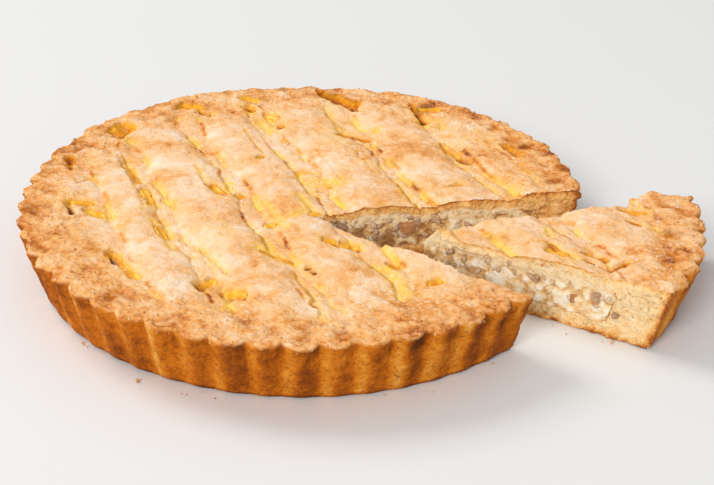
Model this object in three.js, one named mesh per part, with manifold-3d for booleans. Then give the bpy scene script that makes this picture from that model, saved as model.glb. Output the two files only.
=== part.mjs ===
// Pastiera: a round ricotta and wheat tart baked in a fluted tin, with one eighth cut and drawn out.
// Millimetres, +Z up. The tart is modelled about its own centre, then the whole group is moved so that
// its origin is the middle of the foot of its box.
import * as THREE from "three";
import { mergeVertices } from "three/addons/utils/BufferGeometryUtils.js";
import Module from "manifold-3d";

const wasm = await Module();
wasm.setup();

// Driving dimensions of the tart
const RIM_R = 130; // to the crests of the flutes at the rim
const FOOT_R = 122; // to the crests of the flutes at the foot
const HEIGHT = 30; // to the top of the rim
const FLUTES = 56;
const FLUTE_STEPS = 4; // facets for each flute
const FLUTE_DEPTH = 3.4; // from crest to crease at the rim
const BASE_T = 7; // pastry under the filling
const HOLLOW_R = 102; // inner foot of the pastry wall
const COLLAR_R = 109; // inner edge of the rim's top
const ROUND_STEPS = 38; // facets round the filling and the hollow that holds it
const GAP = 0.3; // between two pieces that touch

// Edges of the pastry
const FOOT_EDGE = { in: 2.5, up: 2.2 };
const RIM_EDGE = { in: 4.5, down: 3.6 };
const RIM_TOP = { in: 13, down: 0.6 }; // where the rim's flutes have died out
const COLLAR = { in: RIM_R - COLLAR_R + 6, down: 1.6 };
const CRAG = 0.5; // relief of the rim's top

// Levels of the top
const FILLING_Z = 22.4;
const LOW_Z = 25.6; // crowns of the lower strips
const HIGH_Z = 27.3; // crowns of the upper strips between two crossings
const CROSSING_RISE = 1.5;

// Where the knife went: the corner of the gap lies off the centre
const CUT = { x: 2.6, y: -19.5, front: -36, back: 12.2 };
// The slice is a little leaner than its gap, because crumbs fell
const SLICE_CUT = { x: 0, y: -24.7, front: -33, back: 11.5 };
const PULLED = { x: 50.7, y: -5.9, turn: 4.5 };
const CUT_ROUGHNESS = 0.9;
const SMALLEST_PIECE = 60; // cubic millimetres: what a cut leaves under this is a crumb

// Lattice. A strip's offset is measured square to its run, from the centre of the tart.
const HIGH_ANGLE = -67;
const HIGH_STRIPS = [
  { at: -78, half: 9 },
  { at: -45.8, half: 13.6 },
  { at: -10, half: 12.4 },
  { at: 29.2, half: 14.6 },
  { at: 68.2, half: 14.6 },
  { at: 99, half: 7 },
];
const LOW_ANGLE = 20;
const LOW_SPAN = 78; // the outer two offsets of a lower strip are taken this far from its middle
const LOW_STRIPS = [
  { offsets: [-80, -74, -80], half: 13 },
  { offsets: [-52, -35, -43], half: 12 },
  { offsets: [-4, -3, -12], half: 9 },
  { offsets: [34, 41, 19], half: 10 },
  { offsets: [68, 87, 59], half: 11 },
];
const STRIP_STEP = 14; // spacing of the sections along a strip
const STRIP_DEPTH = 12; // how far a strip reaches below its crown before the filling takes that away
const STRIP_EDGE = 2.2; // how far its sides lie below its crown
const STRIP_FLAT = 0.6; // share of its width that is level

// Whole wheat grains that stand out of a cut, in an uneven row along it
const GRAIN = { count: 8, long: 3, wide: 2, thick: 2.1, sunk: 0.7, first: 15, step: 9.2, z: 13.4, sway: 3.4 };

// Candied peel that shows on the cuts: how far along the cut, how high, how large, and how far its
// middle lies inside the wedge
const GAP_PEEL = [
  { name: "candied_peel_gap", side: "back", along: 45, z: 17.5, size: 7, turn: 40, inside: -2.4 },
];
const SLICE_PEEL = [
  { name: "candied_peel_slice_1", side: "front", along: 71, z: 13.4, size: 6.5, turn: 15, inside: 2.2 },
  { name: "candied_peel_slice_2", side: "front", along: 81, z: 14.8, size: 4.4, turn: 50, inside: 1.5 },
];

const deg = THREE.MathUtils.degToRad;

// A smooth uneven field of about -1 to 1, worked out from slanting waves
function lumps(x, y, size) {
  const a = Math.sin((x * 0.83 + y * 0.55) / size + 1.3);
  const b = Math.sin((x * -0.47 + y * 0.91) / size + 4.1);
  const c = Math.sin((x * 1.57 - y * 1.21) / size + 0.6);
  return (a + b + 0.7 * c) / 2.7;
}

function toSolid(geometry) {
  geometry.deleteAttribute("normal");
  geometry.deleteAttribute("uv");
  const merged = mergeVertices(geometry, 1e-3);
  const vertProperties = new Float32Array(merged.attributes.position.array);
  const triVerts = new Uint32Array(merged.index.array);
  const made = new wasm.Manifold(new wasm.Mesh({ numProp: 3, vertProperties, triVerts }));
  return made.volume() < 0 ? toSolid(turned(merged)) : made;
}

// The same faces seen from the other side
function turned(geometry) {
  const index = geometry.index.array.slice();
  for (let i = 0; i < index.length; i += 3) [index[i], index[i + 1]] = [index[i + 1], index[i]];
  return geometry.clone().setIndex(new THREE.BufferAttribute(index, 1));
}

function toMesh(solid, name, material) {
  const { vertProperties, triVerts, numProp, numVert } = solid.getMesh();
  const points = new Float32Array(numVert * 3);
  for (let i = 0; i < numVert; i++) points.set(vertProperties.subarray(i * numProp, i * numProp + 3), i * 3);
  const geometry = new THREE.BufferGeometry()
    .setAttribute("position", new THREE.BufferAttribute(points, 3))
    .setIndex(new THREE.BufferAttribute(triVerts, 1));
  const mesh = new THREE.Mesh(geometry, material);
  mesh.name = name;
  return mesh;
}

function movePoints(geometry, move) {
  const place = geometry.attributes.position;
  const point = new THREE.Vector3();
  for (let i = 0; i < place.count; i++) {
    move(point.fromBufferAttribute(place, i));
    place.setXYZ(i, point.x, point.y, point.z);
  }
  return geometry;
}

// A solid of revolution about +Z from [radius, height] pairs
function lathe(profile, segments) {
  const outline = profile.map(([r, z]) => new THREE.Vector2(r, z));
  return new THREE.LatheGeometry(outline, segments).rotateX(Math.PI / 2);
}

// Lobes meet in sharp creases, so the depth follows the shadow side of a sine
function fluteInset(angle) {
  return 1 - Math.abs(Math.cos((angle * FLUTES) / 2));
}

function pastryBlock() {
  const profile = [
    [0, 0],
    [FOOT_R - FOOT_EDGE.in, 0],
    [FOOT_R, FOOT_EDGE.up],
    [RIM_R, HEIGHT - RIM_EDGE.down],
    [RIM_R - RIM_EDGE.in, HEIGHT],
    [RIM_R - RIM_TOP.in, HEIGHT - RIM_TOP.down],
    [RIM_R - COLLAR.in, HEIGHT - COLLAR.down],
    [0, HEIGHT - COLLAR.down],
  ];
  const block = lathe(profile, FLUTES * FLUTE_STEPS);
  return movePoints(block, (p) => {
    const r = Math.hypot(p.x, p.y);
    const angle = Math.atan2(p.y, p.x);
    const up = THREE.MathUtils.smoothstep(p.z, 0, HEIGHT);
    const near = THREE.MathUtils.smoothstep(r, RIM_R - RIM_TOP.in, RIM_R - RIM_EDGE.in);
    const inset = FLUTE_DEPTH * near * (0.7 + 0.3 * up) * fluteInset(angle);
    const k = r > 1 ? (r - inset) / r : 1;
    const crag = r > 1 && p.z > HEIGHT - 2 ? CRAG * lumps(p.x, p.y, 6) : 0;
    p.set(p.x * k, p.y * k, p.z + Math.min(crag, HEIGHT - p.z));
  });
}

// The space inside the pastry, drawn in by a clearance where a piece has to fit it
function hollow(clear) {
  const profile = [
    [0, BASE_T + clear],
    [HOLLOW_R - clear, BASE_T + clear],
    [HOLLOW_R + 3 - clear, FILLING_Z - 3],
    [COLLAR_R - 2 - clear, HEIGHT - 5],
    [COLLAR_R + 1 - clear, HEIGHT + 6],
    [0, HEIGHT + 6],
  ];
  return lathe(profile, ROUND_STEPS);
}

function fillingTop(x, y) {
  const r = Math.hypot(x, y);
  const edge = THREE.MathUtils.smoothstep(r, 80, HOLLOW_R);
  return FILLING_Z + 0.7 * lumps(x, y, 9) - 1.6 * edge;
}

function fillingBlock() {
  const rings = [0, 18, 36, 54, 72, 89, HOLLOW_R + 4];
  const profile = [[0, 0], [HOLLOW_R + 4, 0], ...rings.toReversed().map((r) => [r, FILLING_Z])];
  const block = lathe(profile, ROUND_STEPS);
  return movePoints(block, (p) => {
    if (p.z > 1) p.z = fillingTop(p.x, p.y);
  });
}

// Offset of a lower strip's middle line at a place along it: a parabola through its three offsets
function lowOffset([first, middle, last], along) {
  const k = along / LOW_SPAN;
  return middle + ((last - first) / 2) * k + ((first + last) / 2 - middle) * k * k;
}

// How much of a crossing a point has, from 0 to 1
function crossingAt(x, y) {
  const a = deg(LOW_ANGLE);
  const along = x * Math.cos(a) + y * Math.sin(a);
  const off = -x * Math.sin(a) + y * Math.cos(a);
  const gaps = LOW_STRIPS.map(({ offsets, half }) => Math.abs(off - lowOffset(offsets, along)) / half);
  return 1 - THREE.MathUtils.smoothstep(Math.min(...gaps), 0.6, 1.5);
}

// A strip of dough: a low rounded section run along +X, then bent, draped and turned into place
function strip({ half, grow, angle, offsetAt, crownAt }) {
  const w = half + grow;
  const outline = new THREE.Shape([
    new THREE.Vector2(-w, -STRIP_DEPTH),
    new THREE.Vector2(w, -STRIP_DEPTH),
    new THREE.Vector2(w, grow - STRIP_EDGE),
    new THREE.Vector2(STRIP_FLAT * w, grow),
    new THREE.Vector2(-STRIP_FLAT * w, grow),
    new THREE.Vector2(-w, grow - STRIP_EDGE),
  ]);
  const length = 2 * (COLLAR_R + 4);
  const steps = Math.round(length / STRIP_STEP);
  const run = new THREE.ExtrudeGeometry(outline, { depth: length, steps, bevelEnabled: false });
  const cos = Math.cos(deg(angle));
  const sin = Math.sin(deg(angle));
  return movePoints(run, (p) => {
    const along = p.z - length / 2;
    const side = offsetAt(along) + p.x * (1 + 0.09 * lumps(along, half * 5, 8));
    const x = along * cos - side * sin;
    const y = along * sin + side * cos;
    p.set(x, y, crownAt(x, y) + p.y);
  });
}

function lowStrip({ offsets, half }, grow) {
  return strip({
    half,
    grow,
    angle: LOW_ANGLE,
    offsetAt: (along) => lowOffset(offsets, along),
    crownAt: (x, y) => LOW_Z + 0.4 * lumps(x, y, 10),
  });
}

function highStrip({ at, half }) {
  return strip({
    half,
    grow: 0,
    angle: HIGH_ANGLE,
    offsetAt: (along) => at + 1.2 * Math.sin(along / 17 + at),
    crownAt: (x, y) => HIGH_Z + CROSSING_RISE * crossingAt(x, y) + 0.3 * lumps(x, y, 8),
  });
}

// A wedge with crumbly sides, from a corner between two directions
function wedge({ x, y, front, back }, seed) {
  const reach = 190;
  const cells = 20;
  const side = (angle) =>
    Array.from({ length: cells + 1 }, (_, i) => {
      const d = (reach * i) / cells;
      return new THREE.Vector2(x + d * Math.cos(deg(angle)), y + d * Math.sin(deg(angle)));
    });
  const outline = new THREE.Shape([...side(front), ...side(back).slice(1).reverse()]);
  const prism = new THREE.ExtrudeGeometry(outline, { depth: 36, steps: 5, bevelEnabled: false });
  const middle = deg((front + back) / 2);
  return movePoints(prism, (p) => {
    const px = p.x - x;
    const py = p.y - y;
    const across = -px * Math.sin(middle) + py * Math.cos(middle);
    const rough = CUT_ROUGHNESS * lumps(Math.hypot(px, py) + seed, p.z * 2.3 + across, 4.2);
    const push = Math.sign(across) * rough;
    p.set(p.x - push * Math.sin(middle), p.y + push * Math.cos(middle), p.z - 3);
  });
}

function grainsOn({ x, y }, angle, outward, seed) {
  const grains = [];
  for (let i = 0; i < GRAIN.count; i++) {
    const d = GRAIN.first + i * GRAIN.step + 2.5 * Math.sin(i * 2.4 + seed);
    const z = GRAIN.z + GRAIN.sway * Math.sin(i * 1.9 + seed * 2);
    const grain = new THREE.IcosahedronGeometry(1, 0).scale(GRAIN.long, GRAIN.wide, GRAIN.thick);
    grain.rotateY(i * 1.1 + seed).rotateZ(i * 0.8);
    const out = deg(angle + outward * 90);
    grain.translate(
      x + d * Math.cos(deg(angle)) - GRAIN.sunk * Math.cos(out),
      y + d * Math.sin(deg(angle)) - GRAIN.sunk * Math.sin(out),
      z,
    );
    grains.push(toSolid(grain));
  }
  return wasm.Manifold.union(grains).intersect(inside);
}

function peelBlock(cut, { side, along, z, size, turn, inside }, grow) {
  const s = size + 2 * grow;
  const a = deg(cut[side]);
  const across = deg(cut[side] + (side === "front" ? 90 : -90));
  const x = cut.x + along * Math.cos(a) + inside * Math.cos(across);
  const y = cut.y + along * Math.sin(a) + inside * Math.sin(across);
  return new THREE.BoxGeometry(s, s * 0.8, s * 0.75).rotateX(0.3).rotateZ(deg(turn)).translate(x, y, z);
}

const colour = (hex, roughness) => new THREE.MeshStandardMaterial({ color: hex, roughness, metalness: 0 });
const materials = {
  crust: colour(0xd79a55, 0.85),
  lattice: colour(0xedc491, 0.8),
  filling: colour(0xecdcae, 0.55),
  peel: colour(0xd98a35, 0.35),
};

const inside = toSolid(hollow(GAP));
const pastry = toSolid(pastryBlock()).subtract(toSolid(hollow(0)));
const fillingWide = toSolid(fillingBlock());
const fillingWhole = fillingWide.intersect(inside);
const underStrips = fillingWide.translate([0, 0, GAP]);

const lowWhole = LOW_STRIPS.map((s) => toSolid(lowStrip(s, 0)).intersect(inside).subtract(underStrips));
const lowCover = wasm.Manifold.union(LOW_STRIPS.map((s) => toSolid(lowStrip(s, GAP + 0.05))));
const highWhole = HIGH_STRIPS.map((s) =>
  toSolid(highStrip(s)).intersect(inside).subtract(underStrips).subtract(lowCover),
);

const gapWedge = toSolid(wedge(CUT, 0));
const sliceWedge = toSolid(wedge(SLICE_CUT, 40));

// The pieces of a solid that a cut leaves, largest first, without crumbs
function pieces(solid) {
  const whole = solid.decompose().filter((s) => s.volume() > SMALLEST_PIECE);
  return whole.sort((a, b) => b.volume() - a.volume());
}

function addStrips(group, solids, keep, word) {
  solids.forEach((solid, i) => {
    const found = pieces(keep(solid));
    found.forEach((piece, k) => {
      const name = `${word}_${i + 1}${found.length > 1 ? "abcd"[k] : ""}`;
      group.add(toMesh(piece, name, materials.lattice));
    });
  });
}

const tart = new THREE.Group();
const cutOut = (solid) => solid.subtract(gapWedge);

function withPeel(filling, group, cut, list) {
  return list.reduce((rest, one) => {
    group.add(toMesh(toSolid(peelBlock(cut, one, 0)), one.name, materials.peel));
    return rest.subtract(toSolid(peelBlock(cut, one, GAP)));
  }, filling);
}

tart.add(toMesh(cutOut(pastry), "crust", materials.crust));
const gapGrains = grainsOn(CUT, CUT.back, -1, 1).add(grainsOn(CUT, CUT.front, 1, 2));
const tartFilling = withPeel(cutOut(fillingWhole).add(gapGrains), tart, CUT, GAP_PEEL);
tart.add(toMesh(pieces(tartFilling)[0], "filling", materials.filling));
addStrips(tart, lowWhole, cutOut, "low_strip");
addStrips(tart, highWhole, cutOut, "high_strip");

const slice = new THREE.Group();
const cutFree = (solid) => solid.intersect(sliceWedge);
const frontGrains = grainsOn(SLICE_CUT, SLICE_CUT.front, -1, 3);
const backGrains = grainsOn(SLICE_CUT, SLICE_CUT.back, 1, 4);
slice.add(toMesh(cutFree(pastry), "slice_crust", materials.crust));
const grainySlice = cutFree(fillingWhole).add(frontGrains).add(backGrains);
const sliceFilling = withPeel(grainySlice, slice, SLICE_CUT, SLICE_PEEL);
slice.add(toMesh(pieces(sliceFilling)[0], "slice_filling", materials.filling));
addStrips(slice, lowWhole, cutFree, "slice_low_strip");
addStrips(slice, highWhole, cutFree, "slice_high_strip");
slice.position.set(PULLED.x, PULLED.y, 0);
slice.rotation.z = deg(PULLED.turn);

const pastiera = new THREE.Group();
pastiera.add(tart, slice);
pastiera.updateMatrixWorld(true);
const box = new THREE.Box3().setFromObject(pastiera, true);
const centre = box.getCenter(new THREE.Vector3());
pastiera.position.set(-centre.x, -centre.y, 0);

export default pastiera;
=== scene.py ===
import math
from itertools import product

import bmesh
import bpy
import numpy as np
from mathutils import Euler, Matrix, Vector


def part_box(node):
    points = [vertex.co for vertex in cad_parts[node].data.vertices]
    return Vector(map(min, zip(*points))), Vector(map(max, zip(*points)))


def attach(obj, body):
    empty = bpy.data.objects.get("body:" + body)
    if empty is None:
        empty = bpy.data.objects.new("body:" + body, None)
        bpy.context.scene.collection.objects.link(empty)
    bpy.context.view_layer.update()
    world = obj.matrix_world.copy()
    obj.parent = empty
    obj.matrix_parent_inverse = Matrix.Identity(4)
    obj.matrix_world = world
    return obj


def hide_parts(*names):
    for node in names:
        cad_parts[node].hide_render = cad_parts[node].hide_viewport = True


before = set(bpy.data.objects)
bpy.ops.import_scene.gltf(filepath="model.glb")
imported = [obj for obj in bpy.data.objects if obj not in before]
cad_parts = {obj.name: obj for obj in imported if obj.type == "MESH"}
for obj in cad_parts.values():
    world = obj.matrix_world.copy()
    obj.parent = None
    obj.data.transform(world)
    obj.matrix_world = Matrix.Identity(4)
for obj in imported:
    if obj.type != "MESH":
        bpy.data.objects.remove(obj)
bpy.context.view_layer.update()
mm = 0.001
scene = bpy.context.scene

# The tart in millimetres about its own centre, as the frame has it
tart = {
    "rimR": 130.0, "footR": 122.0, "height": 30.0, "flutes": 56, "firstCrest": 1.5, "fluteDepth": 3.4,
    "baseT": 7.0, "hollowR": 102.0, "collarR": 107.0, "underDough": 22.9,
}
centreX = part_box("crust")[0].x / mm + tart["rimR"]

# The knife's two cuts: the corner of the gap, the directions of its sides, and how the slice was drawn out
knife = {
    "gap": {"corner": (2.6, -19.5), "front": -36.0, "back": 12.2},
    "slice": {"corner": (0.0, -24.7), "front": -33.0, "back": 11.5},
    "pulled": (50.7, -5.9), "turned": 4.5,
    "knob": {"from": 98.0, "out": 7.0, "above": 9.0},
}

# The two layers of dough strips: middle lines and half widths; the low ones close up to one another
lattice = {
    "highAngle": -67.0, "lowAngle": 20.0, "lowSpan": 78.0,
    "high": [(-78, 9), (-45.8, 13.6), (-10, 12.4), (29.2, 14.6), (68.2, 14.6), (99, 7)],
    "low": [(-80, -74, -80), (-52, -35, -43), (-4, -3, -12), (34, 41, 19), (68, 87, 59)],
    "lowOuter": (-110, 112),
    "highZ": 27.9, "lowZ": 26.2, "rimZ": 28.3, "crossingRise": 0.8, "shoulder": 3.0, "roundness": 2.0,
    "thick": 6.5, "wander": 1.5, "groove": 1.1, "step": 0.62, "overlap": 2.3,
    "edge": ((1.5, 15, 5), (0.9, 5.5, 6), (0.4, 2.2, 10)),
}

# Where the filling has come up between the strips, as strokes:
# from x, y to x, y, half width, depth, and how brown it is: the baked amber of the ricotta, with painted
# shade in the deep, dark holes
holes = [
    (-69.0, 99.2, -61.2, 97.6, 4.2, 2.2, 0.42), (-58.9, 92.2, -55.0, 89.6, 1.7, 3.6, 1.0),
    (-99.6, 65.0, -94.6, 71.4, 4.6, 3.0, 0.5), (-96.6, 57.9, -90.6, 65.4, 2.4, 4.6, 1.05),
    (-115.6, 32.8, -113.8, 25.1, 2.3, 3.0, 0.8),
    (-112.8, 21.3, -112.1, 19.5, 1.0, 3.4, 1.0), (-105.4, -12.9, -99.2, -12.5, 3.0, 1.8, 0.35),
    (-95.6, -19.4, -90.5, -22.9, 2.6, 1.6, 0.3), (-105.9, -16.7, -102.8, -23.9, 0.9, 2.6, 0.95),
    (-85.5, 25.8, -78.1, 9.2, 1.4, 1.1, 0.22), (-74.7, 2.2, -69.4, -11.1, 1.5, 1.1, 0.22),
    (-44.4, 8.0, -38.1, 1.5, 2.4, 1.8, 0.4), (-30.6, 0.4, -29.4, -0.5, 2.0, 1.4, 0.35),
    (-23.5, 38.7, -24.2, 37.0, 1.3, 1.0, 0.5), (-79.8, -56.5, -66.2, -76.8, 2.3, 3.0, 0.4),
    (-79.9, -57.9, -75.3, -67.2, 0.9, 3.6, 0.85), (-63.3, -33.9, -59.1, -42.0, 1.2, 1.0, 0.4),
    (-38.5, -80.6, -35.1, -77.0, 2.8, 2.0, 0.5), (-26.4, -87.5, -22.2, -89.2, 3.0, 2.8, 0.42),
    (-41.2, -81.0, -37.4, -86.5, 1.0, 3.2, 0.95), (-23.4, -91.2, -20.9, -92.2, 1.0, 3.2, 0.9),
    (-15.5, -53.2, -5.4, -58.8, 1.5, 1.1, 0.25), (3.8, -65.5, 4.0, -66.1, 0.9, 2.4, 1.0),
    (6.3, -69.6, 6.7, -70.6, 0.9, 2.4, 1.0), (7.4, -95.7, 7.9, -96.9, 1.3, 1.0, 0.7),
    (5.2, -19.0, 9.7, -22.7, 2.2, 1.2, 0.4), (-15.1, -27.6, -13.7, -27.7, 1.9, 1.0, 0.3),
    (55.8, -76.6, 57.0, -76.1, 1.9, 1.0, 0.45),
    (-38.2, 111.6, -32.2, 109.2, 3.2, 2.0, 0.35), (-35.7, 100.7, -32.9, 97.6, 2.5, 4.6, 1.1),
    (-25.4, 93.0, -19.6, 87.7, 1.9, 1.4, 0.25), (-16.4, 78.5, -15.6, 76.7, 1.5, 2.2, 0.8),
    (8.4, 116.6, 18.9, 106.9, 5.0, 4.6, 0.8),
    (20.7, 102.7, 22.5, 99.9, 1.7, 4.4, 1.05), (1.9, 123.7, 5.2, 120.8, 2.4, 4.4, 1.0),
    (14.9, 71.3, 21.1, 68.3, 1.7, 2.0, 0.55), (22.0, 67.9, 28.8, 65.2, 2.0, 2.6, 0.45),
    (-4.2, 26.5, 1.9, 25.5, 0.9, 1.0, 0.3),
    (50.9, 106.3, 57.8, 86.7, 1.8, 3.8, 0.9),
    (56.8, 102.5, 62.8, 101.5, 3.2, 2.4, 0.5), (67.2, 59.6, 72.4, 49.1, 2.0, 1.5, 0.3),
    (74.5, 45.7, 77.4, 41.3, 1.9, 4.4, 1.05), (96.8, 58.0, 103.1, 46.6, 2.4, 3.2, 0.8),
    (104.2, 50.6, 105.9, 49.9, 1.2, 2.0, 0.6),
    (68.8, 10.9, 72.4, 12.4, 1.3, 1.2, 0.55), (57.5, -2.4, 58.0, -3.6, 1.0, 1.0, 0.5),
    (1.4, 124.9, 3.0, 121.0, 1.9, 3.0, 0.75), (93.3, -9.4, 98.9, -11.1, 2.4, 2.8, 0.45),
    (100.6, -11.6, 102.1, -12.6, 1.2, 1.4, 0.3), (54.0, -40.0, 55.1, -45.4, 1.4, 1.4, 0.5),
    (53.3, -45.3, 57.0, -50.7, 2.4, 1.1, 0.2),
    (68.3, -48.4, 74.4, -52.1, 1.9, 1.8, 0.5), (67.4, -56.2, 70.9, -59.7, 1.1, 3.4, 0.8),
    (70.9, -59.7, 74.3, -63.1, 1.0, 3.6, 0.9), (75.5, -61.5, 83.4, -57.5, 1.3, 2.6, 0.6),
    (11.3, -43.0, 13.1, -43.1, 2.2, 1.2, 0.4), (13.3, -44.9, 16.1, -45.8, 0.8, 2.0, 0.8),
    (19.4, -46.8, 24.4, -47.8, 1.0, 2.4, 0.85), (18.1, -44.1, 22.2, -45.2, 2.0, 1.0, 0.3),
    (38.1, -60.2, 40.7, -62.0, 1.3, 1.3, 0.6), (93.4, -21.5, 97.8, -24.0, 0.9, 1.6, 0.6),
]

# Furrows in the dough: from x, y to x, y, half width, depth, how yellow and how brown; the brown is painted
# shade in the furrow
creases = [
    (-93.2, 38.1, -71.9, -13.6, 0.7, 0.8, 0.2, 0.9), (-42.3, -53.3, -30.0, -70.6, 0.8, 1.1, 0.4, 0.8),
    (-2.0, -78.5, 3.6, -91.7, 0.6, 0.9, 0.0, 0.9), (-21.4, 40.4, -34.1, 70.3, 0.7, 0.8, 0.2, 0.7),
    (-54.2, 27.8, -46.7, 8.4, 0.7, 0.9, 0.5, 0.7), (-18.3, -50.1, -2.1, -61.6, 1.4, 0.8, 1.0, 0.1),
    (21.7, 48.7, 30.8, 27.2, 0.7, 0.7, 0.2, 0.7), (88.9, 80.1, 93.1, 73.4, 0.7, 0.8, 0.1, 0.8),
    (-3.6, -1.5, 3.7, -15.4, 1.0, 0.8, 0.8, 0.4), (-66.4, -28.2, -55.1, -51.6, 0.9, 0.8, 0.9, 0.5),
    (7.2, 96.2, 12.9, 76.1, 0.8, 0.7, 0.5, 0.6), (22.9, -53.8, 30.3, -64.8, 0.8, 0.6, 0.5, 0.5),
    (0.1, -16.9, -14.6, -28.8, 1.0, 0.7, 0.9, 0.2), (-6.6, 25.5, 3.3, 25.4, 0.8, 0.7, 0.6, 0.3),
    (-41.9, -17.8, -30.5, -41.2, 0.5, 0.4, 0.2, 0.4), (17.2, 14.4, 1.0, 54.1, 0.6, 0.5, 0.1, 0.5),
    (77.6, 30.1, 68.1, 45.9, 0.7, 0.5, 0.5, 0.4), (-91.3, 53.7, -89.3, 52.5, 1.2, 0.5, 0.9, 0.1),
    (-27.4, 84.4, -21.2, 71.5, 1.6, 0.6, 1.0, 0.0), (32.1, 75.8, 31.9, 72.9, 1.1, 0.6, 0.8, 0.3),
    (3.0, 15.5, 13.0, 14.5, 2.4, 0.4, 0.9, 0.0), (38.7, -71.1, 43.6, -86.0, 1.7, 0.7, 1.0, 0.05),
    (59.3, -49.9, 61.0, -54.2, 1.5, 0.6, 1.0, 0.1), (55.1, -25.5, 55.4, -32.9, 1.0, 0.6, 0.9, 0.2),
    (36.0, -64.0, 39.5, -73.0, 1.0, 0.7, 1.0, 0.3), (-20.0, -5.0, -8.0, -32.0, 0.9, 0.6, 0.7, 0.2),
]


def smooth(x, a, b):  # 0 up to a and 1 from b, with t * t * (3 - 2 * t) between
    t = np.clip((x - a) / (b - a), 0, 1)
    return t * t * (3 - 2 * t)


def bell(x, wide):  # 1 at 0, falling off to both sides as a bell curve
    return np.exp(-(x / wide) ** 2)


def fading(x, wide):  # 1 up to 0, and beyond it less by e for each width
    return np.exp(-np.maximum(x, 0) / wide)


def softMax(a, b, k):  # the higher of two heights, their crease rounded over k
    h = np.clip(0.5 + 0.5 * (a - b) / k, 0, 1)
    return b + (a - b) * h + k * h * (1 - h)


def hashed(i, j, k, seed):  # 0..1 for each cell of a grid
    u = np.uint64
    h = i.astype(u) * u(374761393) + j.astype(u) * u(668265263) + k.astype(u) * u(1440662683)
    h = h + u(seed * 362437 + 97)
    h = (h ^ (h >> u(13))) * u(1274126177)
    h = (h ^ (h >> u(29))) * u(2246822519)
    return ((h ^ (h >> u(16))) & u(0xFFFFFF)).astype(float) / 0xFFFFFF


def spot(*axes):  # separate coordinates as one array of points
    return np.stack(np.broadcast_arrays(*axes), -1).astype(float)


def noise(p, size, seed=0):  # value noise, -1..1: the numbers at a cell's corners, blended by a quintic
    shape = p.shape[:-1]
    q = p.reshape(-1, 3) / size + 512.5
    cell = np.floor(q).astype(np.int64)
    f = q - cell
    f = f * f * f * (f * (f * 6 - 15) + 10)
    total = np.zeros(len(q))
    shares = [(1 - part, part) for part in f.T]
    for a, b, c in product((0, 1), repeat=3):
        weight = shares[0][a] * shares[1][b] * shares[2][c]
        total += weight * hashed(cell[:, 0] + a, cell[:, 1] + b, cell[:, 2] + c, seed)
    return (total * 2 - 1).reshape(shape)


def noises(p, *parts):  # a sum of value noises, each given by its weight, cell size and seed
    return sum(weight * noise(p, size, seed) for weight, size, seed in parts)


# Distances to the nearest two of points scattered one to a cell, in cells, and the nearest one's own number
def cells(p, size, seed=0):
    shape = p.shape[:-1]
    q = p.reshape(-1, 3) / size + 512.5
    base = np.floor(q).astype(np.int64)
    near = np.full(len(q), 9.0)
    following = near.copy()
    pick = near * 0
    for offset in product((-1, 0, 1), repeat=3):
        cell = (base + offset).T
        d2 = sum((cell[m] + hashed(*cell, seed + m) - q[:, m]) ** 2 for m in range(3))
        closer = d2 < near
        following = np.where(closer, near, np.minimum(following, d2))
        pick = np.where(closer, hashed(*cell, seed + 3), pick)
        near = np.where(closer, d2, near)
    return np.sqrt(near).reshape(shape), np.sqrt(following).reshape(shape), pick.reshape(shape)


def lumps(x, y, size):  # three slanting waves, as the frame's own relief has them
    a = np.sin((x * 0.83 + y * 0.55) / size + 1.3)
    b = np.sin((x * -0.47 + y * 0.91) / size + 4.1)
    c = np.sin((x * 1.57 - y * 1.21) / size + 0.6)
    return (a + b + 0.7 * c) / 2.7


def along(x, y, angle):  # a place as seen along a line through the centre: how far on, how far to its left
    a = np.radians(angle)
    return x * np.cos(a) + y * np.sin(a), -x * np.sin(a) + y * np.cos(a)


def onLine(start, angle, run, left=0.0):  # the place so far along a line from its start, and to its left
    a = np.radians(angle)
    return start[0] + run * np.cos(a) - left * np.sin(a), start[1] + run * np.sin(a) + left * np.cos(a)


def fromStroke(x, y, x0, y0, x1, y1):  # the distance to the stretch between two points
    dx, dy = x1 - x0, y1 - y0
    t = np.clip(((x - x0) * dx + (y - y0) * dy) / (dx ** 2 + dy ** 2), 0, 1)
    return np.hypot(x - x0 - t * dx, y - y0 - t * dy)


def curved(offsets, run):  # the parabola through three offsets, at the span's two ends and its middle
    first, middle, last = offsets
    k = run / lattice["lowSpan"]
    return middle + (last - first) / 2 * k + ((first + last) / 2 - middle) * k * k


def lowBorder(n, run):  # the line between low strips n - 1 and n: half way, wandering a little
    line = lattice["low"]
    if 0 < n < len(line):
        middle = (curved(line[n - 1], run) + curved(line[n], run)) / 2
    else:
        middle = lattice["lowOuter"][n > 0]
    wander = noise(spot(run, n * 37.0, 3.0), 14, 7) + 0.5 * noise(spot(run, n * 37.0, 5.0), 5, 8)
    return middle + lattice["wander"] * wander


def highMiddle(at, run):  # a strip's middle line: its offset, a slow sine and noise
    return at + 1.2 * np.sin(run / 17 + at) + 1.2 * noise(spot(run, at, 0.0), 24, 9)


def highWidth(run, half, at, side):  # half a strip's width, its two edges uneven on their own
    p = spot(run, side * 40.0, at)
    own = noises(p, *lattice["edge"])
    return half * (1 + 0.07 * lumps(run, half * 5, 8)) + 1.0 + own


def crossing(x, y):  # 1 where a high strip lies on the middle of a low one
    run, off = along(x, y, lattice["lowAngle"])
    gaps = [np.abs(off - curved(o, run)) / 11.0 for o in lattice["low"]]
    return 1 - smooth(np.minimum.reduce(gaps), 0.5, 1.5)


def innerEdge(angle):  # where the rim's dough begins to cover the lattice
    p = spot(np.cos(angle) * 40, np.sin(angle) * 40, 0.0)
    return tart["collarR"] - 1.0 + 2.6 * noise(p, 9.0, 31) + 1.2 * noise(p, 3.6, 32)
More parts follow.
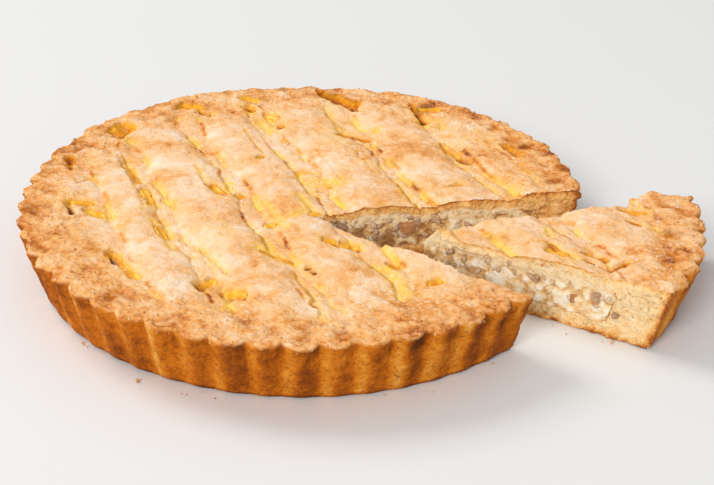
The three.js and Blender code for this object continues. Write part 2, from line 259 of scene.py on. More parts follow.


# Each stroke's distance is that to its line less its half width, its outline made uneven by noise.
# Returns the nearest outline (below 0 inside), the depth of the bowl, and how brown it is, more so towards
# the bowl's middle: baked amber, with painted shade in the deep holes.
def holesAt(x, y):
    p = spot(x, y, 0.0)
    wobble = 0.8 * noises(p, (0.9, 4.2, 81), (0.55, 1.8, 82))
    nearest = np.full(np.shape(x), 99.0)
    sunk, warm = nearest * 0, nearest * 0
    for *line, wide, deep, brown in holes:
        d = fromStroke(x, y, *line) - wide - math.sqrt(wide) * wobble
        bowl = smooth(-d, -0.3, min(2.6, 0.85 * wide))
        nearest = np.minimum(nearest, d)
        sunk = np.maximum(sunk, deep * (0.3 + 0.7 * bowl) * (d < 0.8))
        # warm: the hole's brown, deeper towards the bowl's middle: baked amber and painted shade
        warm = np.where(d < 0.8, np.maximum(warm, brown * (0.25 + 0.75 * bowl)), warm)
    return nearest, sunk, warm


def creasesAt(x, y):  # depth, yellow and brown of the furrows, the brown being painted shade in them: bell curves of the distance to each line
    wobble = 0.8 * noise(spot(x, y, 3.0), 3.5, 84)
    deep, yellow, brown = (np.zeros(np.shape(x)) for _ in range(3))
    for *line, wide, depth, yolk, dark in creases:
        d = fromStroke(x, y, *line) + wobble
        deep = np.maximum(deep, depth * bell(d, wide))
        yellow = np.maximum(yellow, yolk * bell(d, wide * 2.6))
        brown = np.maximum(brown, dark * bell(d, wide * 1.1))
    return deep, yellow, brown


# Rows of noise are weight, size in millimetres and seed
doughLook = {
    "puffs": ((0.45, 11, 11), (0.36, 5, 12), (0.22, 2.5, 13)), "crackle": 0.3,
    "crags": ((0.8, 7.5, 21), (0.55, 3.4, 22)), "roughInside": 0.36, "roughFrom": 78, "roughTo": 124,
    "holeDrop": 5.4,
}


# Relief of all dough skin: soft puffs, a crackle, and towards the rim crags and grains
def doughRelief(x, y):
    p = spot(x, y, 0.0)
    rough = smooth(np.hypot(x, y), doughLook["roughFrom"], doughLook["roughTo"])
    near, following, _ = cells(p, 8.5, 14)
    crackle = bell(following - near, 0.06) * smooth(noise(p, 13, 15), 0.0, 0.4)
    coarse, _, pick = cells(p, 3.6, 23)
    fine, _, own = cells(p, 1.8, 26)
    grains = 0.6 * (0.55 - coarse) * (0.4 + pick) + 0.34 * (0.5 - fine) * (0.3 + own)
    crags = (noises(p, *doughLook["crags"]) + grains) * (doughLook["roughInside"] * (1 - rough) + rough)
    return noises(p, *doughLook["puffs"]) - doughLook["crackle"] * crackle + crags


def carve(nearest):  # how far the dough falls away at a hole's edge
    return doughLook["holeDrop"] * smooth(-nearest, -1.2, 1.1)


def towardsRim(x, y, z, rimZ):  # a height that goes over into the rim's between 88 and 109 mm from the middle
    return z + (rimZ - z) * smooth(np.hypot(x, y), 88, 109)


def highLevel(x, y):  # the level of a high strip's crown: waved, and raised where it lies on a low one
    z = lattice["highZ"] + lattice["crossingRise"] * crossing(x, y) + 0.3 * lumps(x, y, 8)
    return towardsRim(x, y, z, lattice["rimZ"])


def lowLevel(x, y):  # the level of the low layer, waved
    return towardsRim(x, y, lattice["lowZ"] + 0.35 * lumps(x, y, 10), lattice["rimZ"] - 0.15)


def shouldered(q):  # a strip's section: level in its middle, rounded down to its edge
    n = lattice["roundness"]
    return lattice["shoulder"] * (1 - (1 - np.clip(q, 0, 1) ** n) ** (1 / n))


def highSurface(x, y):  # the high strips' crowns, how far a place is outside them, and on which flank
    run, off = along(x, y, lattice["highAngle"])
    highest, edge, flank = (np.full(np.shape(x), start) for start in (-99.0, 99.0, 0.0))
    level = highLevel(x, y)
    for at, half in lattice["high"]:
        side = off - highMiddle(at, run)
        w = highWidth(run, half, at, np.sign(side))
        beyond = np.abs(side) - w
        crown = level - shouldered(np.abs(side) / w) - 2.2 * np.maximum(beyond, 0)
        highest = np.maximum(highest, crown)
        flank = np.where(beyond < edge, np.sign(side), flank)
        edge = np.minimum(edge, beyond)
    return highest, edge, flank


def stained(x, y, flank):  # 0..1, where the gaps beside the high strips are furrowed and yellow
    return smooth(noises(spot(x, y, flank * 30.0), (1.0, 13, 87), (0.5, 5, 88)), -0.12, 0.45)


def groove(x, y, beside, flank):  # a furrow in the low layer along the high strips' edges
    fade = (0.2 + 0.8 * stained(x, y, flank)) * (1 - smooth(np.hypot(x, y), 96, 112))
    return lattice["groove"] * bell(beside - 0.9, 1.5) * fade


def doughSurface(x, y):  # the top of both layers together, in some places creased and in others run together
    high, edge, flank = highSurface(x, y)
    soft = 0.5 + 1.9 * smooth(noise(spot(x, y, 0.0), 11, 16), -0.45, 0.35)
    return softMax(high, lowLevel(x, y) - groove(x, y, edge, flank), soft), edge


# Points in millimetres about the tart's centre; faces as arrays, each of polygons with as many corners
def meshOf(name, points, faces, slot=0):
    sizes = np.concatenate([np.full(len(f), f.shape[1]) for f in faces])
    mesh = bpy.data.meshes.new(name)
    mesh.vertices.add(len(points))
    mesh.vertices.foreach_set("co", points.astype(np.float32).ravel())
    mesh.loops.add(int(sizes.sum()))
    mesh.loops.foreach_set("vertex_index", np.concatenate([f.ravel() for f in faces]).astype(np.int32))
    mesh.polygons.add(len(sizes))
    mesh.polygons.foreach_set("loop_start", (np.cumsum(sizes) - sizes).astype(np.int32))
    mesh.polygons.foreach_set("material_index", np.full(len(sizes), slot, np.int32))
    mesh.update(calc_edges=True)
    mesh.validate()
    return mesh


def gridQuads(rows, cols, around=True):  # corners of the quads of a grid, closed round its columns or not
    i, j = np.meshgrid(np.arange(rows - 1), np.arange(cols if around else cols - 1), indexing="ij")
    k = (j + 1) % cols
    return np.stack([i * cols + j, i * cols + k, (i + 1) * cols + k, (i + 1) * cols + j], -1).reshape(-1, 4)


def outwards(points, faces):  # turns all faces round if they enclose a negative volume
    volume = 0.0
    for f in faces:
        p = points[f]
        volume += np.sum(np.cross(p[:, 1:-1] - p[:, :1], p[:, 2:] - p[:, :1]) * p[:, :1])
    return [f[:, ::-1] for f in faces] if volume < 0 else faces


def tube(name, points, slot=0):  # a grid of rows that close round their columns, with a flat cap at both ends
    rows, cols = points.shape[:2]
    flat = points.reshape(-1, 3)
    cap = np.arange(cols)[None]
    faces = [gridQuads(rows, cols), cap[:, ::-1], (rows - 1) * cols + cap]
    return meshOf(name, flat, outwards(flat, faces), slot)


def note(mesh, key, values):  # one number for each vertex
    mesh.attributes.new(key, "FLOAT", "POINT").data.foreach_set("value", values.astype(np.float32))


# Many small closed lumps: a ball's formula with each sine and cosine to a power, scaled, turned and placed
def balls(name, centres, radii, squareness, turns, rings, around, bumps, seed):
    lat = np.linspace(-math.pi / 2, math.pi / 2, rings + 2)[1:-1]
    lon = np.arange(around) * 2 * math.pi / around
    cosLat, sinLat, cosLon, sinLon = (np.sign(v) * np.abs(v) ** squareness for v in
                                      (np.cos(lat), np.sin(lat), np.cos(lon), np.sin(lon)))
    ring = spot(cosLat[:, None] * cosLon, cosLat[:, None] * sinLon, sinLat[:, None] + 0 * lon).reshape(-1, 3)
    unit = np.vstack([ring, [[0, 0, -1], [0, 0, 1]]])
    n, m = len(centres), len(unit)
    own = np.arange(n)[:, None, None] * 7.3
    body = unit[None] * radii[:, None, :] * (1 + bumps * noise(unit[None] + own, 0.8, seed))[..., None]
    body = np.einsum("nij,nkj->nki", turns, body) + centres[:, None, :]
    this, following, top = np.arange(around), (np.arange(around) + 1) % around, (rings - 1) * around
    poles = np.vstack([np.stack([0 * this + m - 2, following, this], -1),
                       np.stack([0 * this + m - 1, top + this, top + following], -1)])
    step = (np.arange(n) * m)[:, None, None]
    faces = [(f[None] + step).reshape(-1, f.shape[1]) for f in (gridQuads(rings, around), poles)]
    mesh = meshOf(name, body.reshape(-1, 3), faces)
    note(mesh, "own", np.repeat(np.random.default_rng(seed + 5).random(n), m))
    return mesh


def randomTurns(n, rng):  # n rotation matrices from random quaternions
    q = rng.normal(size=(n, 4))
    w, x, y, z = (q / np.linalg.norm(q, axis=1, keepdims=True)).T
    return np.stack([1 - 2 * (y * y + z * z), 2 * (x * y - z * w), 2 * (x * z + y * w),
                     2 * (x * y + z * w), 1 - 2 * (x * x + z * z), 2 * (y * z - x * w),
                     2 * (x * z - y * w), 2 * (y * z + x * w), 1 - 2 * (x * x + y * y)], -1).reshape(-1, 3, 3)


def read(items, key, width=1, kind=np.int32):  # one property of all the items of a mesh
    values = np.empty(len(items) * width, kind)
    items.foreach_get(key, values)
    return values.reshape(-1, width) if width > 1 else values


def coords(mesh):
    return read(mesh.vertices, "co", 3, np.float32).astype(float)


def normals(mesh):
    return read(mesh.vertex_normals, "vector", 3, np.float32).astype(float)


crustLook = {
    "anglesAFlute": 18, "wallRelief": 0.6, "ragged": 1.25, "pits": 3.0, "pitSize": 3.1, "spread": 2.4,
    "relief": ((0.5, 6, 52), (0.42, 3, 53), (0.24, 1.4, 54)), "chip": 1.1,
    # radius, height, flutes, inner edge's wander, wall relief, top relief, steps to the next row
    "profile": [
        (120.6, 0, 0.16, 0, 0, 0, 2), (121.5, 0.9, 0.2, 0, 0.6, 0, 2), (122.2, 2.4, 0.28, 0, 1, 0, 19),
        (128.3, 23, 0.92, 0, 1, 0, 4), (129.3, 25.6, 1, 0, 1, 0, 3), (129.8, 27.2, 1, 0, 0.8, 0.2, 2),
        (129.5, 28.2, 1, 0, 0.5, 0.6, 2), (128.2, 28.6, 0.97, 0, 0.2, 1, 4), (125, 28.6, 0.72, 0, 0, 1, 9),
        (117, 28.4, 0.1, 0.1, 0, 1, 10), (110.5, 28.2, 0, 0.9, 0, 1, 3), (108.3, 27.6, 0, 1, 0, 1, 2),
        (107.2, 25.6, 0, 1, 0, 1, 1), (107, 23, 0, 1, 0, 0, 1), (106, 20.6, 0, 0.6, 0, 0, 1),
        (104.5, 18, 0, 0, 0, 0, 2), (102, 7, 0, 0, 0, 0, 0),
    ],
}


def lobes(angle):  # of the nearest flute: 1 on its crest to 0 in a crease, how far past its crest, its number
    turn = (angle - math.radians(270 + tart["firstCrest"])) * tart["flutes"] / (2 * math.pi)
    number = np.floor(turn + 0.5)
    return np.abs(np.cos((turn - number) * math.pi)), turn - number, number % tart["flutes"]


def ofFlute(number, row, seed):  # 0..1 for each flute
    number = number.astype(np.int64)
    return hashed(number, number * 0 + row, number * 0, seed)


# Rings of one profile, from the foot's edge up the fluted wall, over the rim and down inside to the base.
# Between crests it goes in by 1 - swing ** 2 low down, a furrow, and by 1 - swing ** 0.8 on the rim, a cusp.
def wholeCrust():
    line = crustLook["profile"]
    steps = np.array([row[6] for row in line[:-1]])
    knots = np.concatenate([[0], np.cumsum(steps)])
    at = np.arange(knots[-1] + 1)
    r0, z0, flute, wander, wall, top = (np.interp(at, knots, [row[c] for row in line]) for c in range(6))
    nr, nz = np.gradient(z0), -np.gradient(r0)
    nr, nz = nr / np.hypot(nr, nz), nz / np.hypot(nr, nz)

    angle = np.arange(tart["flutes"] * crustLook["anglesAFlute"])
    angle = angle * 2 * math.pi / len(angle)
    swing, _, number = lobes(angle)
    own = ofFlute(number, 0, 8)
    chip = crustLook["chip"] * smooth(ofFlute(number, 2, 8), 0.8, 0.95)
    cusped = (0.2 + 0.6 * smooth(z0, 18, 26) * (r0 > 115))[:, None]
    inset = cusped * (1 - swing ** 0.8) + (1 - cusped) * (1 - swing ** 2)
    inset = inset * (0.85 + 0.4 * own) * tart["fluteDepth"] + 0.6 * (own - 0.3) * swing
    back = np.sin(angle)  # flutes are shallower and the rim wider at the back
    inset = inset * (1 - 0.4 * smooth(back, -0.2, 0.4))
    spread = crustLook["spread"] * smooth(back, 0.1, 0.5) * (1 - 0.8 * smooth(back, 0.9, 0.98))
    dev = innerEdge(angle) - tart["collarR"] + 1.0
    r = r0[:, None] + wander[:, None] * dev - flute[:, None] * inset
    z = z0[:, None] + 0 * r
    c, s = np.cos(angle), np.sin(angle)
    p = spot(r * c, r * s, z)

    pits = np.maximum(0.34 - cells(p, crustLook["pitSize"], 51)[0], 0)
    relief = noises(p, *crustLook["relief"]) - crustLook["pits"] * pits
    ragged = noises(p, (1.0, 4.6, 55), (0.6, 2.0, 56)) - 0.35
    edge = bell(z - 27.8, 1.3) * (r0 > 127)[:, None]
    recess = bell(z - 24.0, 2.6) * (r0 > 120)[:, None] * (0.3 + 0.6 * noise(p, 7, 57))
    push = crustLook["wallRelief"] * wall[:, None] * relief + crustLook["ragged"] * edge * ragged - recess
    high = smooth(z, 8, 28) * (r0 > 112)[:, None]
    r = r + push + high * (spread - chip * smooth(r0, 120, 128)[:, None])
    x, y = np.maximum(r * c, -129.95), np.minimum(r * s, 129.95)

    strips, _ = doughSurface(x, y)
    nearest, sunk, _ = holesAt(x, y)
    furrow = creasesAt(x, y)[0]
    lift = doughRelief(x, y)
    over = z + (softMax(z, strips, 1.2) - z) * smooth(-r, -121, -112)
    lower = carve(nearest)
    lower = lower + (sunk * smooth(-nearest, -0.8, 0.4) - lower) * smooth(r, 104.5, 107.5)
    whole = over + lift - furrow - lower - 0.15 * smooth(-r, -112, -108)
    isTop = top[:, None]
    z = np.where(isTop > 0.9, whole, z + 0.8 * lift * isTop)
    z = np.minimum(z, tart["height"] - 0.02 - 0.25 * smooth(z, 30, 31))
    z[0] = 0
    z[-1] = tart["baseT"]
    return tube("wholeCrust", spot(x, y, z))


# A strip is a grid of sections along its run: a level crown with rounded shoulders, and a flat foot
def stripTube(name, run, off, angle, side, topZ, level):
    x, y = onLine((0, 0), angle, run[:, None], off)
    z = level(x, y) - lattice["thick"]
    isTop = np.isfinite(side)
    xTop, yTop, foot = x[:, isTop], y[:, isTop], z[:, isTop]
    top = topZ(xTop, yTop, side[isTop]) + doughRelief(xTop, yTop) - creasesAt(xTop, yTop)[0]
    top = top - carve(holesAt(xTop, yTop)[0])
    dive = np.hypot(xTop, yTop) - innerEdge(np.arctan2(yTop, xTop))
    z[:, isTop] = np.clip(top - 5 * smooth(dive, 1.2, 8), foot + 0.5, tart["height"] - 0.05)
    return tube(name, spot(x, y, z))


def acrossStrip(width):  # places across a strip from -1 to 1, closer at the edges, then the foot (no place)
    bend = 0.43 * math.pi
    side = np.sin(np.linspace(-1, 1, int(width / lattice["step"])) * bend) / math.sin(bend)
    return np.concatenate([side, [np.nan] * 4]), np.concatenate([side, [1.0, 0.4, -0.4, -1.0]])


def wholeHigh(n):  # its edges run out onto the low layer, a hair above it
    at, half = lattice["high"][n]
    reach = math.sqrt(max(116 ** 2 - at ** 2, 900))
    run = np.arange(-reach, reach, lattice["step"])
    side, place = acrossStrip(2 * half + 7)
    right, left = (highWidth(run, half, at, flank)[:, None] + lattice["overlap"] for flank in (-1.0, 1.0))
    rim = np.sqrt(np.maximum(118 ** 2 - run ** 2, 1))[:, None]
    off = np.clip(highMiddle(at, run)[:, None] + place * np.where(place < 0, right, left), -rim, rim)

    def topZ(x, y, s):
        return doughSurface(x, y)[0] + 0.04

    return stripTube(f"high{n}", run, off, lattice["highAngle"], side, topZ, highLevel)


def wholeLow(n):  # between two border lines, its edges 0.8 mm lower than its middle
    run = np.arange(-113, 113, lattice["step"])
    rim = np.sqrt(117 ** 2 - run ** 2)
    low, high = (np.clip(lowBorder(n + m, run), -rim, rim) for m in (0, 1))
    kept = high - low > 2  # it ends where both its edges meet the rim
    run, low, high = run[kept], low[kept][:, None], high[kept][:, None]
    side, place = acrossStrip(float(np.mean(high - low)))
    off = low - 0.4 + (place + 1) / 2 * (high - low + 0.8)

    def topZ(x, y, s):
        _, edge, flank = highSurface(x, y)
        return lowLevel(x, y) - groove(x, y, edge, flank) - 0.8 * smooth(np.abs(s), 0.88, 1.0)

    return stripTube(f"low{n}", run, off, lattice["lowAngle"], side, topZ, lowLevel)


fillingLook = {
    "across": 330, "outer": 109.0, "under": 0.35,
    "swell": ((0.28, 5, 41), (0.2, 2.2, 42), (0.08, 1.1, 43)),
}


def fillingTop(x, y):  # hidden under the dough, and in a hole as high as the dough less the hole's bowl
    r = np.hypot(x, y)
    nearest, sunk, _ = holesAt(x, y)
    swell = noises(spot(x, y, 0.0), *fillingLook["swell"])
    shown = doughSurface(x, y)[0] - fillingLook["under"] - sunk + swell
    hidden = tart["underDough"] + 0.3 * lumps(x, y, 9) - 1.2 * smooth(r, 84, 106)
    return hidden + (shown - hidden) * smooth(-nearest, -1.3, -0.2) - 0.8 * smooth(r, 105, 108)


# A disc from a square grid: u and v bent onto the circle by u * sqrt(1 - v * v / 2), so that it has no pole
def wholeFilling():
    n, outer, hollow = fillingLook["across"], fillingLook["outer"], tart["hollowR"]
    u, v = np.meshgrid(np.linspace(-1, 1, n), np.linspace(-1, 1, n), indexing="ij")
    x, y = outer * u * np.sqrt(1 - v * v / 2), outer * v * np.sqrt(1 - u * u / 2)
    top = spot(x, y, fillingTop(x, y)).reshape(-1, 3)
    i = np.arange(n)
    ring = np.concatenate([i[:-1] * n, (n - 1) * n + i[:-1], i[:0:-1] * n + n - 1, i[:0:-1]])
    quads = gridQuads(n, n, around=False)
    heading = top[ring, :2] / np.hypot(top[ring, 0], top[ring, 1])[:, None]
    points, below = [top], ring
    for radius, level in ((outer - 1, 20.4), (hollow + 2.3, 18.0), (hollow - 0.2, tart["baseT"] + 0.3)):
        fresh = np.arange(len(ring)) + sum(len(p) for p in points)
        points.append(spot(heading[:, 0] * radius, heading[:, 1] * radius, level))
        quads = np.vstack([quads, np.stack([below, np.roll(below, -1), np.roll(fresh, -1), fresh], -1)])
        below = fresh
    flat = np.vstack(points)
    return meshOf("wholeFilling", flat, outwards(flat, [quads, below[None]]))


# The insets keep each layer's cut behind the high strips' one, so that no two lie in one plane
cutLook = {
    "step": 0.45, "reach": 136.0, "low": -2.0, "high": 32.5, "worn": 1.3, "tipWorn": 2.4,
    # toast: painted shade over each cut face, deep in the narrow gap and slight on the slice
    "insets": {"high": 0.0, "low": 0.12, "crust": 0.24, "filling": 0.36}, "toast": {False: 0.34, True: 0.06},
    "crumb": ((0.7, 9, 65), (0.75, 3.6, 66), (0.36, 1.5, 67)),
    "curd": ((0.6, 8, 78), (0.5, 3, 80), (0.25, 1.3, 79)),
}


def crumbRelief(d, z, seed):  # broken pastry: layers that split along the base, small pores, a few cracks
    p = spot(d, z * 1.5, seed * 11.0)
    near, following, pick = cells(p, 3.6, 61 + seed)
    crack = bell(following - near, 0.08) * smooth(noise(spot(d, z, seed), 11, 62), -0.1, 0.3)
    q = spot(d, z, seed * 11.0)
    pores = np.maximum(0.3 - cells(q, 1.9, 64 + seed)[0], 0)
    return noises(q, *cutLook["crumb"]) + 0.45 * (pick - 0.5) - 0.9 * crack - 1.6 * pores


def curdRelief(d, z, seed):  # ricotta: round curds with valleys between them
    p = spot(d, z, seed * 17.0)
    near, following, pick = cells(p, 4.4, 71 + seed)
    small, _, own = cells(p, 2.0, 75 + seed)
    curds = 1.3 * (0.55 - near) * (0.4 + pick) + 0.7 * (0.5 - small) * (own > 0.45)
    valley = bell(following - near, 0.1) * (pick > 0.7)
    return curds - 0.5 * valley + noises(p, *cutLook["curd"]) - 0.2


def crownAt(x, y):  # the top's height, with the rim's beyond the lattice
    return np.where(np.hypot(x, y) > 107, 28.6, doughSurface(x, y)[0])


def curdShare(x, y, z):  # 1 more than some millimetres under the dough's skin, where curd shows in the cut
    under = crownAt(x, y) - z + 1.2 * noise(spot(x, y, 0.0), 6, 76)
    return smooth(under, 3.0, 4.6) * (1 - smooth(np.hypot(x, y), 96, 103)) * (z > 9)


def objectOf(name, data):
    made = bpy.data.objects.new(name, data)
    scene.collection.objects.link(made)
    return made


# The wedge between two cuts, as a closed body. Each side is a fine grid of distance along the cut by height,
# pushed square to the cut by its relief: into the gap's wedge, out of the slice's. The slice's tip is worn
# back, so that its sides start farther on along the cuts, and it keeps a knob of the rim.
def knifeBody(which, allCurd, seed, inset):
    corner, front, back = (knife[which][part] for part in ("corner", "front", "back"))
    inwards = which == "gap"
    d = np.arange(0, cutLook["reach"], cutLook["step"])
    z = np.arange(cutLook["low"], cutLook["high"], cutLook["step"])
    dd, zz = np.meshgrid(d, z, indexing="xy")
    knob = knife["knob"]
    sides = []
    for angle, outside in ((front, -1), (back, 1)):
        crown = crownAt(*onLine(corner, angle, d))
        tip = 0 * z if inwards else inset + cutLook["tipWorn"] * smooth(z - crown[0], -9.0, 0.4)
        tip = tip[:, None]
        run = dd + (1 - dd / cutLook["reach"]) * tip / math.tan(math.radians(back - front) / 2)
        x, y = onLine(corner, angle, run)
        relief = crumbRelief(run, zz, seed + (outside > 0))
        curds = curdRelief(run, zz, seed + 2 + (outside > 0))
        relief = relief + (curds - relief) * (1.0 if allCurd else curdShare(x, y, zz))
        worn = cutLook["worn"] * smooth(zz - crown, -3.0, 0.4) * (1 + smooth(run, 104, 126))
        worn = worn * (0.7 + 0.6 * noise(spot(dd, outside, seed), 6, 63))
        crumbly = smooth(run, 98, 112) * (1 - 0.7 * smooth(run, 120, 129))
        crumbly = crumbly * noises(spot(x, y, zz), (0.9, 5, 58), (0.6, 2.2, 59))
        left = relief + crumbly - worn
        if inwards:
            left = (left - inset) * smooth(dd, 0.5, 5)
        else:
            left = left * smooth(dd, 0.5, 5) - inset - (tip - inset) * (1 - smooth(dd, 3, 15))
            if outside > 0:
                grown = smooth(run, knob["from"], knob["from"] + 5) * (1 - 0.8 * smooth(run, 113, 128))
                left = left + knob["out"] * grown * smooth(zz, knob["above"] - 6, knob["above"] + 8)
        sides.append(spot(*onLine(corner, angle, run, left * (-outside if inwards else outside)), zz))
    fs, bs = sides
    start = (fs[:, :1] + bs[:, :1]) / 2
    far = [spot(*onLine(corner, angle, 175), z)[:, None] for angle in (front, (front + back) / 2, back)]
    return objectOf(which, tube(which, np.concatenate([start, fs[:, 1:], *far, bs[:, :0:-1]], 1), 1))


def withoutScraps(mesh, least=60):  # drops small loose parts that the knife left
    a, b = read(mesh.edges, "vertices", 2).T
    label, last = np.arange(len(mesh.vertices)), None
    while last is None or (label != last).any():  # all of a part take the lowest number in it
        last, low = label, np.minimum(label[a], label[b])
        label = label.copy()
        np.minimum.at(label, a, low)
        np.minimum.at(label, b, low)
        label = label[label]
    _, where, counts = np.unique(label, return_inverse=True, return_counts=True)
    loose = counts[where] < max(least, counts.max() * 0.2)
    if loose.any():
        bm = bmesh.new()
        bm.from_mesh(mesh)
        bm.verts.ensure_lookup_table()
        bmesh.ops.delete(bm, geom=[bm.verts[i] for i in np.flatnonzero(loose)], context="VERTS")
        bm.to_mesh(mesh)
        bm.free()
    return mesh


def carved(mesh, body, keep):  # what the knife leaves of a whole solid: all but the wedge, or only the wedge
    whole = objectOf("whole", mesh)
    cut = whole.modifiers.new("knife", "BOOLEAN")
    cut.operation = "DIFFERENCE" if keep == "rest" else "INTERSECT"
    cut.solver = "MANIFOLD"
    cut.object = body
    left = bpy.data.meshes.new_from_object(whole.evaluated_get(bpy.context.evaluated_depsgraph_get()))
    bpy.data.objects.remove(whole)
    return left


def srgb(r, g, b):  # a screen colour, 0 to 255, as the linear one that a shader takes
    return tuple(c / 3294.6 if c <= 10 else ((c / 255 + 0.055) / 1.055) ** 2.4 for c in (r, g, b)) + (1.0,)


class Finish:  # a material built up node by node; sizes of patterns are in millimetres
    def __init__(self, name, roughness, coat=0.0, subsurface=0.0, specular=0.3):
        self.material = bpy.data.materials.new(name)
        self.material.use_nodes = True
        self.shader = self.material.node_tree.nodes["Principled BSDF"]
        for key, value in (("Roughness", roughness), ("Coat Weight", coat), ("Coat Roughness", 0.25),
                           ("Specular IOR Level", specular), ("Subsurface Weight", subsurface),
                           ("Subsurface Radius", (0.004, 0.002, 0.001)), ("Subsurface Scale", 0.6)):
            self.shader.inputs[key].default_value = value
        self.where = self.node("TexCoord", "Object", {})

    def put(self, socket, value):
        if isinstance(value, bpy.types.NodeSocket):
            self.material.node_tree.links.new(value, socket)
        else:
            socket.default_value = value

    def node(self, kind, output, inputs, **values):
        made = self.material.node_tree.nodes.new("ShaderNode" + kind)
        for key, value in values.items():
            setattr(made, key, value)
        for key, value in inputs.items():
            self.put(made.inputs[key], value)
        return made.outputs[output]

    def attribute(self, name):
        return self.node("Attribute", "Fac", {}, attribute_name=name)

    def noise(self, size, detail=3.0, rough=0.55, shift=0.0):
        moved = {"Vector": self.where, "Location": (shift, shift * 0.7, -shift)}
        place = self.node("Mapping", "Vector", moved)
        inputs = {"Vector": place, "Scale": 1 / (size * mm), "Detail": detail, "Roughness": rough}
        return self.node("TexNoise", "Fac", inputs)

    def cells(self, size, feature="F1"):
        inputs = {"Vector": self.where, "Scale": 1 / (size * mm)}
        return self.node("TexVoronoi", "Distance", inputs, feature=feature)

    def math(self, how, a, b, limit=False):
        return self.node("Math", 0, {0: a, 1: b}, operation=how, use_clamp=limit)

    def spread(self, value, low, high, toLow=0.0, toHigh=1.0):
        inputs = {"Value": value, "From Min": low, "From Max": high, "To Min": toLow, "To Max": toHigh}
        return self.node("MapRange", "Result", inputs, interpolation_type="SMOOTHSTEP")

    def total(self, *terms):  # (value, weight) pairs and a plain number, summed
        result = terms[-1]
        for value, weight in terms[:-1]:
            result = self.math("ADD", self.math("MULTIPLY", value, weight), result)
        return result

    def ramp(self, value, stops):
        colour = self.node("ValToRGB", "Color", {"Fac": value})
        line = colour.node.color_ramp.elements
        line[0].position, line[0].color = stops[0][0], srgb(*stops[0][1])
        line[1].position, line[1].color = stops[-1][0], srgb(*stops[-1][1])
        for place, tint in stops[1:-1]:
            line.new(place).color = srgb(*tint)
        return colour

    def mix(self, share, a, b):
        return self.node("Mix", 2, {0: share, 6: a, 7: b}, data_type="RGBA")

    def bump(self, height, distance, strength):
        relief = {"Strength": strength, "Distance": distance * mm, "Height": height}
        self.put(self.shader.inputs["Normal"], self.node("Bump", "Normal", relief))

    def colour(self, value):
        self.put(self.shader.inputs["Base Color"], value)
        return self.material


# Colours from light to dark, each with its place on the scale from 0 to 1
colours = {
    "top": [(0.0, (252, 230, 210)), (0.2, (249, 214, 180)), (0.4, (245, 196, 144)), (0.58, (239, 176, 108)),
            (0.74, (222, 144, 70)), (0.87, (178, 98, 38)), (1.0, (118, 60, 20))],
    "wall": [(0.0, (96, 44, 4)), (0.25, (152, 76, 6)), (0.5, (198, 108, 12)), (0.75, (220, 142, 44)),
             (1.0, (240, 186, 112))],
    "yolk": (250, 200, 86), "speck": (176, 108, 54), "dust": (255, 236, 220), "char": (104, 52, 10),
    "crumb": [(0.0, (255, 237, 204)), (0.3, (254, 221, 168)), (0.55, (246, 192, 114)), (0.75, (226, 148, 68)),
              (1.0, (160, 88, 30))],
    # painted shade in the crumb's pores and cracks
    "pore": (206, 160, 96), "crack": (168, 112, 58),
    "skin": [(0.0, (253, 228, 158)), (0.22, (251, 207, 94)), (0.45, (245, 178, 40)), (0.66, (212, 126, 22)),
             (0.84, (142, 74, 16)), (1.0, (64, 34, 12))],
    "curd": [(0.0, (255, 247, 230)), (0.3, (254, 236, 204)), (0.52, (250, 218, 164)), (0.74, (232, 186, 126)),
             (1.0, (180, 128, 76))],
    "wheat": [(0.0, (142, 106, 78)), (0.35, (186, 150, 116)), (0.65, (216, 186, 150)),
              (1.0, (240, 218, 184))],
    "peel": [(0.25, (150, 92, 50)), (0.5, (192, 132, 80)), (0.75, (220, 172, 122))],
    "sugar": [(0.0, (250, 242, 232)), (1.0, (255, 255, 255))],
    "crumble": [(0.0, (238, 194, 144)), (0.4, (228, 168, 108)), (0.75, (206, 136, 74)), (1.0, (160, 96, 44))],
}


def doughSkin():
    f = Finish("baked dough skin", 0.8, specular=0.14)
    rough = f.attribute("rough")
    fine = f.noise(1.3, 4, 0.6)
    middle = f.noise(3.6, 3, 0.55, 0.3)
    wide = f.noise(13, 2, 0.5, 0.7)
    bake = f.total((fine, 0.2), (middle, 0.4), (wide, 0.34), (f.attribute("bake"), 1.0), -0.47)
    sand = f.math("MULTIPLY", f.spread(f.cells(2.2), 0.1, 0.75), f.total((rough, 0.12), 0.03))
    top = f.ramp(f.math("ADD", bake, sand), colours["top"])
    yolk = f.math("MULTIPLY", f.attribute("yolk"), f.spread(middle, 0.25, 0.65, 0.55, 1.0), True)
    top = f.mix(yolk, top, srgb(*colours["yolk"]))
    streak = f.total((fine, 0.5), (middle, 0.55), (wide, 0.3), (f.attribute("wallTone"), 1.0), -0.68)
    char = f.math("MULTIPLY", f.spread(f.noise(1.9, 3, 0.6, 3.1), 0.56, 0.7), 0.55)
    side = f.mix(char, f.ramp(streak, colours["wall"]), srgb(*colours["char"]))
    skin = f.mix(f.attribute("wall"), top, side)
    amber = f.ramp(f.total((middle, 0.4), (f.attribute("amber"), 1.0), -0.16), colours["skin"])
    skin = f.mix(f.attribute("open"), skin, amber)
    specks = f.spread(f.noise(1.6, 2, 0.5, 1.1), 0.6, 0.76)
    skin = f.mix(f.math("MULTIPLY", specks, f.total((rough, 0.22), 0.08)), skin, srgb(*colours["speck"]))
    dust = f.spread(f.noise(1.7, 3, 0.6, 2.3), 0.52, 0.72)
    skin = f.mix(f.math("MULTIPLY", dust, f.attribute("sugar")), skin, srgb(*colours["dust"]))
    grain = f.math("MULTIPLY", f.spread(f.cells(2.0), 0.0, 0.8), f.total((rough, -0.7), -0.2))
    f.bump(f.total((fine, 0.7), (grain, 0.45), (middle, 0.9), 0.0), 0.8, 0.8)
    return f.colour(skin)


